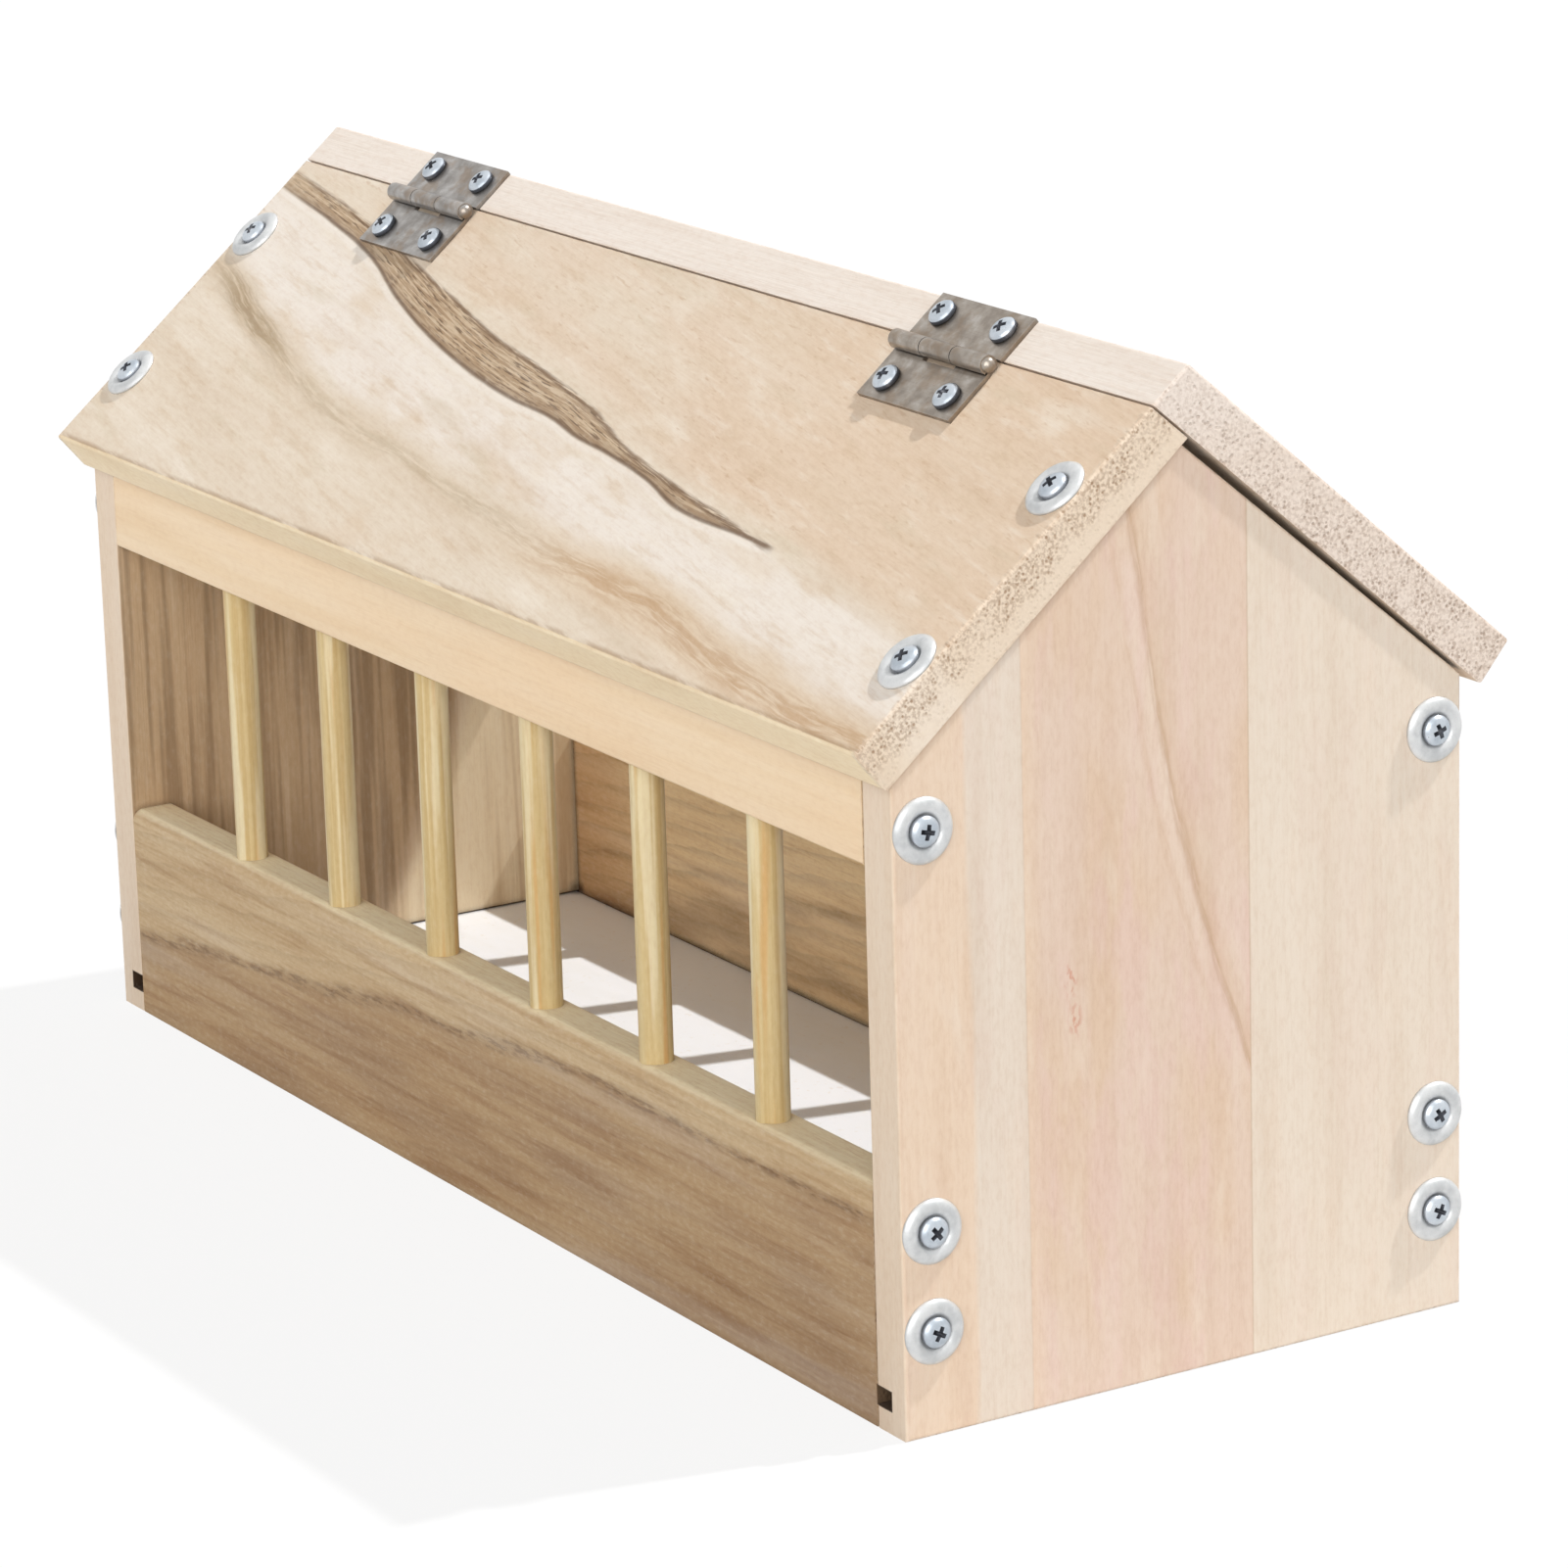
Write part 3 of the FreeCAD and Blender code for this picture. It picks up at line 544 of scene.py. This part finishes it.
def low_board_wood(name, ground, lower_tint, seed, figure, streaky, left_shade, crevice_shade):
    """Low board: a paler upper belt, a top painted paler as painted light, a wavy dark grain line
    and greyer brown below it. figure is how strongly that line shows, streaky how dark the board's
    streaks are, left_shade how much darker its left end is, crevice_shade how much painted shade
    darkens its corners."""
    wood = Wood(name, ground, seed)
    track = wood.line(wood.x, BOARD_LINE, BOARD_REACH, BOARD_HEIGHT)
    sway = wood.sway(wood.streaks(9.0, stretch=7.0, shift=3.0, detail=3.0, rough=0.55), 9.0)
    offset = wood.add(wood.minus(wood.z, track), sway)
    wood.tint(lower_tint, wood.step(offset, 2.0, -4.0), 0.8)
    grey = wood.step(wood.streaks(15.0, stretch=5.0, shift=13.0), 0.42, 0.66)
    wood.tint(srgb(0.67, 0.555, 0.435), grey, wood.step(offset, 4.0, -3.0), 0.6)
    low_right = wood.times(wood.step(wood.x, 20.0, 190.0), wood.step(wood.z, 30.0, 4.0))
    wood.tint(srgb(0.60, 0.47, 0.345), low_right, 0.5)
    lines = wood.math("FRACT", wood.divide(wood.add(offset, 40.0), 6.8))
    ridged = wood.times(wood.step(lines, 0.5, 0.98), wood.step(lines, 1.0, 0.93))
    wood.tint(srgb(0.56, 0.44, 0.32), ridged, 0.16)
    fleck = wood.streaks(0.9, stretch=6.0, shift=47.0, detail=3.0, rough=0.65)
    wood.tint(srgb(0.60, 0.48, 0.36), wood.near(offset, 3.0), 0.7 * figure)
    wood.tint(srgb(0.44, 0.335, 0.235), wood.near(offset, 1.8), wood.step(fleck, 0.44, 0.6), figure)
    streaks = wood.streaks(3.0, stretch=22.0, shift=53.0, detail=3.0, rough=0.6)
    wood.tint(wood.darker(srgb(0.80, 0.70, 0.60)), wood.step(streaks, 0.48, 0.68), streaky)
    # Painted light: the upward-facing top is paler.
    wood.tint(srgb(0.985, 0.93, 0.795), wood.step(wood.normal_z, 0.6, 0.98))
    shaded = wood.step(wood.x, -125.0, -180.0, high=left_shade)
    wood.tint(wood.darker(srgb(0.75, 0.63, 0.55)), shaded)
    wood.corner_shade(crevice_shade)
    # Painted shade: the end grain inside the floor's groove is dark.
    shadowed = wood.product(wood.groove_height(), wood.end, 0.95)
    end_colour = wood.mix(srgb(0.85, 0.75, 0.62), srgb(0.20, 0.13, 0.08), shadowed)
    wood.porous = wood.minus(1.0, shadowed)
    return wood.finish_wood(strength=0.5, vessels=0.35, end_colour=end_colour)


def rail_wood():
    """Rail: smooth, light peach wood with quiet straight grain."""
    wood = Wood("rail_wood", srgb(0.98, 0.885, 0.755), seed=5)
    long = wood.step(wood.streaks(5.0, stretch=40.0, shift=7.0), 0.4, 0.68)
    wood.tint(srgb(0.95, 0.835, 0.675), long, 0.45)
    warm = wood.step(wood.streaks(30.0, stretch=4.0, shift=17.0), 0.45, 0.65)
    wood.tint(srgb(0.975, 0.855, 0.705), warm, 0.6)
    return wood.finish_wood(strength=0.2, vessels=0.1, pores=0.5, rough=0.55,
                            end_colour=srgb(0.90, 0.80, 0.65))


def bar_wood():
    """Turned bar: yellow wood with straight upright lines, some of them orange."""
    wood = Wood("bar_wood", srgb(0.86, 0.77, 0.57), seed=6, grain="Z")
    lines = wood.step(wood.streaks(1.9, stretch=90.0, shift=7.0, rough=0.6), 0.43, 0.66)
    wood.tint(srgb(0.80, 0.685, 0.465), lines, 0.75)
    orange = wood.step(wood.streaks(3.4, stretch=30.0, shift=21.0), 0.52, 0.66)
    wood.tint(srgb(0.86, 0.675, 0.42), orange, 0.75)
    pale = wood.step(wood.streaks(3.0, stretch=30.0, shift=33.0), 0.48, 0.62)
    wood.tint(srgb(0.94, 0.885, 0.735), pale, 0.75)
    return wood.finish_wood(strength=0.3, vessels=0.2, pores=0.5, rough=0.5,
                            end_colour=srgb(0.86, 0.76, 0.56))


def floor_white():
    """Thin white board, faintly rubbed and dusty, with painted shade along its corners."""
    shade = Surface("floor_white", srgb(0.97, 0.982, 1.0), seed=7)
    rub = shade.step(shade.streaks(18.0, stretch=3.0, shift=5.0, detail=3.0, rough=0.6), 0.45, 0.7)
    shade.tint(srgb(0.94, 0.945, 0.945), rub, 0.6)
    dust = shade.step(shade.streaks(1.6, shift=9.0), 0.64, 0.74)
    shade.tint(srgb(0.88, 0.84, 0.77), dust, 0.3)
    shade.corner_shade(0.6)
    gloss = shade.step(rub, 0.0, 1.0, low=0.42, high=0.55)
    return shade.finish(shade.colour, gloss, shade.streaks(0.5, shift=19.0), PANEL_RELIEF,
                        specular=0.4)


def metal(name, colour, stain, rough, metallic, crevice_shade, drawn=1.0, rust=0.0):
    """Plated steel: fine lines, drawn times as long as wide, dull and brown patches, painted shade
    in narrow places and brighter edges."""
    shade = Surface(name, colour, seed=8)
    lines = shade.streaks(0.25, stretch=drawn, rough=0.6)
    dull = shade.streaks(4.5, shift=3.0, detail=3.0, rough=0.6)
    brown = shade.streaks(7.0, shift=13.0, detail=3.0, rough=0.6)
    bright = shade.mix(shade.colour, WHITE, 0.3)
    shade.tint(stain, shade.step(dull, 0.42, 0.66), 0.6)
    shade.tint(bright, shade.step(dull, 0.46, 0.3), 0.5)
    shade.tint(srgb(0.55, 0.455, 0.35), shade.step(brown, 0.46, 0.64), rust)
    shade.tint(stain, shade.step(lines, 0.48, 0.72), 0.25)
    shade.tint(bright, shade.edge(0.0004), 0.5)
    # Painted shade: darker in narrow places.
    shade.tint(srgb(0.25, 0.24, 0.24), shade.crevice(0.0016), crevice_shade)
    patchy = shade.step(dull, 0.3, 0.72, low=rough - 0.05, high=rough + 0.1)
    gloss = shade.add(patchy, shade.times(lines, 0.05))
    return shade.finish(shade.colour, gloss, lines, METAL_RELIEF, metallic=metallic)


# Fasteners, in metres. Heights are measured from the top of the piece. HEAD_SIDE is the height of
# a head's straight side, and faces further than DEEP below its dome belong to its recess.
HEAD_RADIUS, HEAD_HEIGHT, HEAD_SIDE = 0.0035, 0.0022, 0.0012
HEAD_ROUND, HEAD_SIDES = 0.0003, 48
HEAD_RISE, HEAD_CROWN = HEAD_HEIGHT - HEAD_SIDE, HEAD_RADIUS - HEAD_ROUND
DEEP = 0.00008
CROSS_LENGTH, CROSS_WIDTH, CROSS_DEPTH, CROSS_TAPER = 0.0046, 0.0014, 0.0014, 0.55
THREAD_CREST, THREAD_ROOT, THREAD_PITCH = 0.00172, 0.00128, 0.0018
THREAD_SIDES, RINGS_PER_PITCH = 20, 6
TIP_LENGTH, TIP_BLUNT = 0.005, 0.04
WASHER_RADIUS, WASHER_DISH, WASHER_BORE = 0.0075, 0.0036, 0.0020
WASHER_CREST, WASHER_SHEET, WASHER_SIDES = 0.0015, 0.0004, 64
# A head's finishes, by their places in its list of materials. The recess and the straight side get
# painted shade.
DOME, RECESS, SIDE = 0, 1, 2
# A face of a head is shaded flat where its normal's height is below this
FLAT_BELOW = -0.99
# Points nearer than this are one, and solids are sorted by their middles to so many digits
MERGE, SORT_DIGITS = 1e-6, 5
# Screws whose lengths agree to so many digits share a mesh, and each turns by a draw from this seed
LENGTH_DIGITS, TURN_SEED = 4, 4


def arc(middle, radii, start, end, steps):
    """Points of an elliptic arc in (radius, height), angles in degrees from the axis."""
    turns = [math.radians(start + (end - start) * i / steps) for i in range(steps + 1)]
    return [(middle[0] + radii[0] * math.sin(t), middle[1] + radii[1] * math.cos(t)) for t in turns]


def lathe(bm, outline, sides, closed):
    """Turn an outline of (radius, height) points about Z. A radius of 0 is a point on the axis."""
    turns = [2 * math.pi * i / sides for i in range(sides)]
    rings = []
    for radius, height in outline:
        if radius == 0:
            rings.append([bm.verts.new((0, 0, height))] * sides)
        else:
            rings.append([bm.verts.new((radius * math.cos(t), radius * math.sin(t), height))
                          for t in turns])
    pairs = list(zip(rings, rings[1:])) + ([(rings[-1], rings[0])] if closed else [])
    for low, high in pairs:
        for i in range(sides):
            corners = list(dict.fromkeys([low[i], low[i - 1], high[i - 1], high[i]]))
            if len(corners) > 2:
                bm.faces.new(corners).smooth = True


def mesh_from(bm, name):
    """Mesh of a finished bmesh, with its faces turned outward."""
    bmesh.ops.recalc_face_normals(bm, faces=bm.faces)
    mesh = bpy.data.meshes.new(name)
    bm.to_mesh(mesh)
    bm.free()
    return mesh


def object_from(data, name):
    """Object in the scene that shows a mesh, a lamp or a camera."""
    made = bpy.data.objects.new(name, data)
    bpy.context.collection.objects.link(made)
    return made


def head_outline():
    """Pan head, from the middle of its dome to its underside."""
    half = HEAD_ROUND / 2
    dome = arc((0, -HEAD_RISE), (HEAD_CROWN, HEAD_RISE), start=0, end=72, steps=10)
    edge = arc((HEAD_CROWN, -HEAD_RISE - HEAD_ROUND), (HEAD_ROUND, HEAD_ROUND),
               start=40, end=90, steps=3)
    foot = [(HEAD_RADIUS, -HEAD_HEIGHT + half), (HEAD_RADIUS - half, -HEAD_HEIGHT)]
    return dome + edge + foot + [(0, -HEAD_HEIGHT)]


def cross_cutter():
    """Tapered cross that the driver's recess is cut with."""
    bm = bmesh.new()
    half, arm = CROSS_WIDTH / 2, CROSS_LENGTH / 2
    quarter = [(arm, -half), (arm, half), (half, half)]
    outline = []
    for turn in range(4):
        c, s = math.cos(turn * math.pi / 2), math.sin(turn * math.pi / 2)
        outline += [(x * c - y * s, x * s + y * c) for x, y in quarter]
    top = [bm.verts.new((x, y, HEAD_SIDE)) for x, y in outline]
    low = [bm.verts.new((x * CROSS_TAPER, y * CROSS_TAPER, -CROSS_DEPTH)) for x, y in outline]
    for i in range(len(outline)):
        bm.faces.new((top[i - 1], top[i], low[i], low[i - 1]))
    bm.faces.new(top)
    bm.faces.new(low)
    return mesh_from(bm, "cross_cutter")


def recessed_head():
    """Mesh of one screw head with its cross recess."""
    bm = bmesh.new()
    lathe(bm, head_outline(), HEAD_SIDES, closed=False)
    head = object_from(mesh_from(bm, "head"), "head")
    cutter = object_from(cross_cutter(), "cutter")
    cut = head.modifiers.new("recess", "BOOLEAN")
    cut.object, cut.operation, cut.solver = cutter, "DIFFERENCE", "EXACT"
    bpy.context.view_layer.update()
    evaluated = head.evaluated_get(bpy.context.evaluated_depsgraph_get())
    shaped = bpy.data.meshes.new_from_object(evaluated)
    for thing in (head, cutter):
        bpy.data.objects.remove(thing)
    return shaped


def threaded_shank(bm, length):
    """Shank under a head: a thread that winds around it and fades out on the pointed tip."""
    count = int(length / THREAD_PITCH * RINGS_PER_PITCH)
    rings = []
    for k in range(count + 1):
        depth = length * k / count
        narrow = max(min(1.0, (length - depth) / TIP_LENGTH), TIP_BLUNT)
        ring = []
        for i in range(THREAD_SIDES):
            turn = i / THREAD_SIDES
            wave = abs(2 * ((depth / THREAD_PITCH + turn) % 1.0) - 1)
            radius = (THREAD_ROOT + (THREAD_CREST - THREAD_ROOT) * wave ** 2) * narrow
            x, y = radius * math.cos(2 * math.pi * turn), radius * math.sin(2 * math.pi * turn)
            ring.append(bm.verts.new((x, y, -HEAD_HEIGHT - depth)))
        rings.append(ring)
    for low, high in zip(rings, rings[1:]):
        for i in range(THREAD_SIDES):
            bm.faces.new((low[i], low[i - 1], high[i - 1], high[i])).smooth = True
    bm.faces.new(rings[0])
    bm.faces.new(rings[-1])


def finish_index(face):
    """Which finish a face of a head has: its dome's, its recess's or its straight side's."""
    middle = face.calc_center_median()
    radius = math.hypot(middle.x, middle.y)
    if radius > HEAD_CROWN:
        return SIDE if middle.z < -HEAD_RISE - HEAD_ROUND / 3 else DOME
    surface = HEAD_RISE * (math.sqrt(1 - (radius / HEAD_CROWN) ** 2) - 1)
    return RECESS if middle.z < surface - DEEP else DOME


def screw_mesh(head, length):
    """Screw with the given head, on a shank of the given length."""
    bm = bmesh.new()
    bm.from_mesh(head)
    for face in bm.faces:
        face.smooth = face.normal.z > FLAT_BELOW
        face.material_index = finish_index(face)
    threaded_shank(bm, length)
    return mesh_from(bm, "screw")


def washer_mesh():
    """Sheet washer: a rounded ring, hollow underneath, around a low flat middle that the screw's
    head sits on."""
    bm = bmesh.new()
    half, rise = (WASHER_RADIUS - WASHER_DISH) / 2, WASHER_CREST - WASHER_SHEET
    bend = (half ** 2 + rise ** 2) / (2 * rise)
    turn = math.degrees(math.asin(half / bend))
    middle, inner = (WASHER_DISH + half, -bend), bend - WASHER_SHEET
    ring = arc(middle, (bend, bend), -turn, turn, steps=16)
    hollow = arc(middle, (inner, inner), turn, -turn, steps=12)
    rim = [(WASHER_RADIUS, -WASHER_CREST), (hollow[0][0], -WASHER_CREST)]
    seat = [(hollow[-1][0], -WASHER_CREST), (WASHER_BORE, -WASHER_CREST), (WASHER_BORE, -rise)]
    lathe(bm, ring + rim + hollow + seat, WASHER_SIDES, closed=True)
    return mesh_from(bm, "washer")


def solids_of(node):
    """Corner points of each separate solid in a node."""
    bm = bmesh.new()
    bm.from_mesh(nodes[node].data)
    bmesh.ops.remove_doubles(bm, verts=bm.verts, dist=MERGE)
    left = set(bm.verts)
    solids = []
    while left:
        todo = [left.pop()]
        points = []
        while todo:
            vert = todo.pop()
            points.append(vert.co.copy())
            fresh = [e.other_vert(vert) for e in vert.link_edges if e.other_vert(vert) in left]
            left.difference_update(fresh)
            todo += fresh
        solids.append(points)
    bm.free()
    return sorted(solids, key=rounded_middle)


def rounded_middle(points):
    """Middle of some points, rounded so that a sort by it gives the same order each run."""
    middle = sum(points, Vector()) / len(points)
    return tuple(round(v, SORT_DIGITS) for v in middle)


def seat_of(points, outward):
    """Place of one turned solid, with the origin at the middle of its top and Z along outward, and
    its length."""
    turn = outward.to_track_quat("Z", "Y").to_matrix()
    local = [turn.transposed() @ p for p in points]
    low = [min(p[i] for p in local) for i in range(3)]
    high = [max(p[i] for p in local) for i in range(3)]
    top = Vector(((low[0] + high[0]) / 2, (low[1] + high[1]) / 2, high[2]))
    return Matrix.Translation(turn @ top) @ turn.to_4x4(), high[2] - low[2]


def placed(node, body, finishes, outward, shape, turns):
    """One piece that stands for a node of alike solids: shape(length) at the place of each of them,
    turned by a draw from turns."""
    bm = bmesh.new()
    for points in solids_of(node):
        place, length = seat_of(points, outward)
        copy = shape(length).copy()
        copy.transform(place @ Matrix.Rotation(turns.uniform(0, math.tau), 4, "Z"))
        bm.from_mesh(copy)
        bpy.data.meshes.remove(copy)
    mesh = bpy.data.meshes.new(node + "_shaped")
    bm.to_mesh(mesh)
    bm.free()
    for finish in finishes:
        mesh.materials.append(finish)
    piece = object_from(mesh, node + "_shaped")
    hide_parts(node)
    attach(piece, body)


def fasteners():
    """All screws and washers, in place of the plain ones."""
    zinc = metal("screw_zinc", srgb(0.78, 0.81, 0.84), srgb(0.63, 0.67, 0.71),
                 rough=0.3, metallic=0.7, crevice_shade=0.25)
    # Painted shade: the cross recesses get this dark metal.
    recess_shade = metal("screw_recess_shade", srgb(0.22, 0.24, 0.28), srgb(0.15, 0.16, 0.19),
                    rough=0.45, metallic=0.6, crevice_shade=0.7)
    # Painted shade: the straight sides of the heads get darker metal, a little darker beside
    # washers, much darker on the hinges.
    edge = metal("screw_side_shade", srgb(0.72, 0.74, 0.77), srgb(0.58, 0.60, 0.63),
                 rough=0.4, metallic=0.5, crevice_shade=0.1)
    hinge_side_shade = metal("screw_hinge_side_shade", srgb(0.36, 0.38, 0.42), srgb(0.28, 0.30, 0.33),
                      rough=0.45, metallic=0.6, crevice_shade=0.5)
    washer_metal = [metal("washer_zinc", srgb(0.84, 0.845, 0.845), srgb(0.72, 0.73, 0.735),
                          rough=0.34, metallic=0.45, crevice_shade=0.1)]
    screw_metal = [zinc, recess_shade, edge]
    leaf_screw_metal = [zinc, recess_shade, hinge_side_shade]
    head = recessed_head()
    washer = washer_mesh()
    turns = random.Random(TURN_SEED)
    made = {}

    def screw(length):
        key = round(length, LENGTH_DIGITS)
        if key not in made:
            made[key] = screw_mesh(head, length - HEAD_HEIGHT)
        return made[key]

    def ring(length):
        """All washers are alike."""
        return washer

    left_out, right_out = Vector((-1, 0, 0)), Vector((1, 0, 0))
    for start, outward in (("left_end", left_out), ("right_end", right_out), ("roof", front_out)):
        placed(start + "_screws", "house", screw_metal, outward, screw, turns)
        placed(start + "_washers", "house", washer_metal, outward, ring, turns)
    placed("fixed_leaf_screws", "house", leaf_screw_metal, front_out, screw, turns)
    placed("lid_leaf_screws", "lid", leaf_screw_metal, front_out, screw, turns)
    for mesh in [head, washer] + list(made.values()):
        bpy.data.meshes.remove(mesh)


def dress(material, *names):
    """Give CAD nodes their material."""
    for name in names:
        nodes[name].data.materials.clear()
        nodes[name].data.materials.append(material)


def dress_all():
    """Materials of all pieces, and the shaped fasteners."""
    dress(front_roof_wood(), "front_roof_panel")
    dress(lid_wood(), "rear_roof_lid")
    dress(end_panel_wood("right_panel_wood", side=1, seed=3, inner=0.6), "right_end_panel")
    dress(end_panel_wood("left_panel_wood", side=-1, seed=4, inner=1.0), "left_end_panel")
    dress(low_board_wood("front_board_wood", srgb(0.835, 0.735, 0.585), srgb(0.725, 0.60, 0.45),
                         seed=9, figure=0.5, streaky=0.45, left_shade=0.0, crevice_shade=0.3), "front_board")
    dress(low_board_wood("back_board_wood", srgb(0.995, 0.885, 0.70), srgb(0.97, 0.85, 0.665),
                         seed=10, figure=0.1, streaky=0.3, left_shade=0.6, crevice_shade=0.9), "back_board")
    dress(rail_wood(), "front_rail", "back_rail")
    dress(bar_wood(), *[n for n in nodes if "_bar_" in n])
    dress(floor_white(), "floor_panel")
    # Painted reflection: the two hinges are one steel, the left one painted greyer and the right
    # one browner.
    grey = metal("left_hinge_steel", srgb(0.645, 0.63, 0.615), srgb(0.51, 0.49, 0.47),
                 rough=0.3, metallic=0.9, crevice_shade=0.7, drawn=30.0, rust=0.5)
    brown = metal("right_hinge_steel", srgb(0.645, 0.61, 0.57), srgb(0.51, 0.47, 0.43),
                  rough=0.3, metallic=0.9, crevice_shade=0.7, drawn=30.0, rust=0.45)
    dress(grey, *[n for n in nodes if n.startswith("left_hinge_")])
    dress(brown, *[n for n in nodes if n.startswith("right_hinge_")])
    fasteners()


def background_rays(shade):
    """1 for rays that show the background: straight from the camera, mirrored or through glass."""
    path = shade.node("ShaderNodeLightPath").outputs
    seen = shade.larger(path["Is Camera Ray"], path["Is Glossy Ray"])
    return shade.larger(seen, path["Is Transmission Ray"])


def white_floor():
    """Pale floor with a soft shadow."""
    bm = bmesh.new()
    bmesh.ops.create_grid(bm, x_segments=FLOOR_CELLS, y_segments=FLOOR_CELLS, size=FLOOR_REACH)
    floor = object_from(mesh_from(bm, "floor"), "floor")
    shade = Shade(bpy.data.materials.new("pale_floor"))
    seen = background_rays(shade)
    tone = shade.mix((FLOOR_BOUNCE,) * 3 + (1.0,), (FLOOR_TONE,) * 3 + (1.0,), seen)
    matt = shade.node("ShaderNodeBsdfDiffuse", {"Color": tone}).outputs[0]
    glow = shade.node("ShaderNodeEmission", {"Strength": 1.0}).outputs[0]
    share = shade.times(seen, FLOOR_GLOW)
    shade.show(shade.node("ShaderNodeMixShader", {0: share, 1: matt, 2: glow}))
    floor.data.materials.append(shade.owner)


def sky():
    """Even white light, and a white background."""
    world = bpy.data.worlds.new("sky")
    shade = Shade(world, "ShaderNodeOutputWorld")
    strength = shade.step(background_rays(shade), 0.0, 1.0, low=SKY)
    shade.show(shade.node("ShaderNodeBackground", {"Color": WHITE, "Strength": strength}))
    bpy.context.scene.world = world


def lamp(name, share, source, angle):
    """Lamp at a great distance. A share of 1 shows a facing white surface as white."""
    light = bpy.data.lights.new(name, "SUN")
    light.energy = share * math.pi
    light.angle = math.radians(angle)
    lit = object_from(light, name)
    lit.rotation_mode = "QUATERNION"
    lit.rotation_quaternion = source.to_track_quat("Z", "Y")


def camera():
    """Camera at the photo's viewing angle."""
    a, e, r = [math.radians(v) for v in (AZIMUTH, ELEVATION, ROLL)]
    back = Vector((math.sin(a) * math.cos(e), -math.cos(a) * math.cos(e), math.sin(e)))
    level = Vector((0, 0, 1)).cross(back).normalized()
    steep = back.cross(level)
    right = level * math.cos(r) + steep * math.sin(r)
    up = steep * math.cos(r) - level * math.sin(r)
    turn = Matrix((right, up, back)).transposed()
    lens = bpy.data.cameras.new("camera")
    lens.sensor_width = SENSOR
    lens.lens = FOCAL_PIXELS / IMAGE_PIXELS * SENSOR
    lens.clip_start, lens.clip_end = CLIP_START, CLIP_END
    viewer = object_from(lens, "camera")
    viewer.matrix_world = Matrix.Translation(AIM + back * DISTANCE) @ turn.to_4x4()
    bpy.context.scene.camera = viewer


dress_all()
white_floor()
sky()
lamp("sun", SUN, SUN_FROM, SUN_ANGLE)
lamp("key", KEY, KEY_FROM, KEY_ANGLE)
camera()
bpy.context.scene.view_settings.view_transform = "Standard"
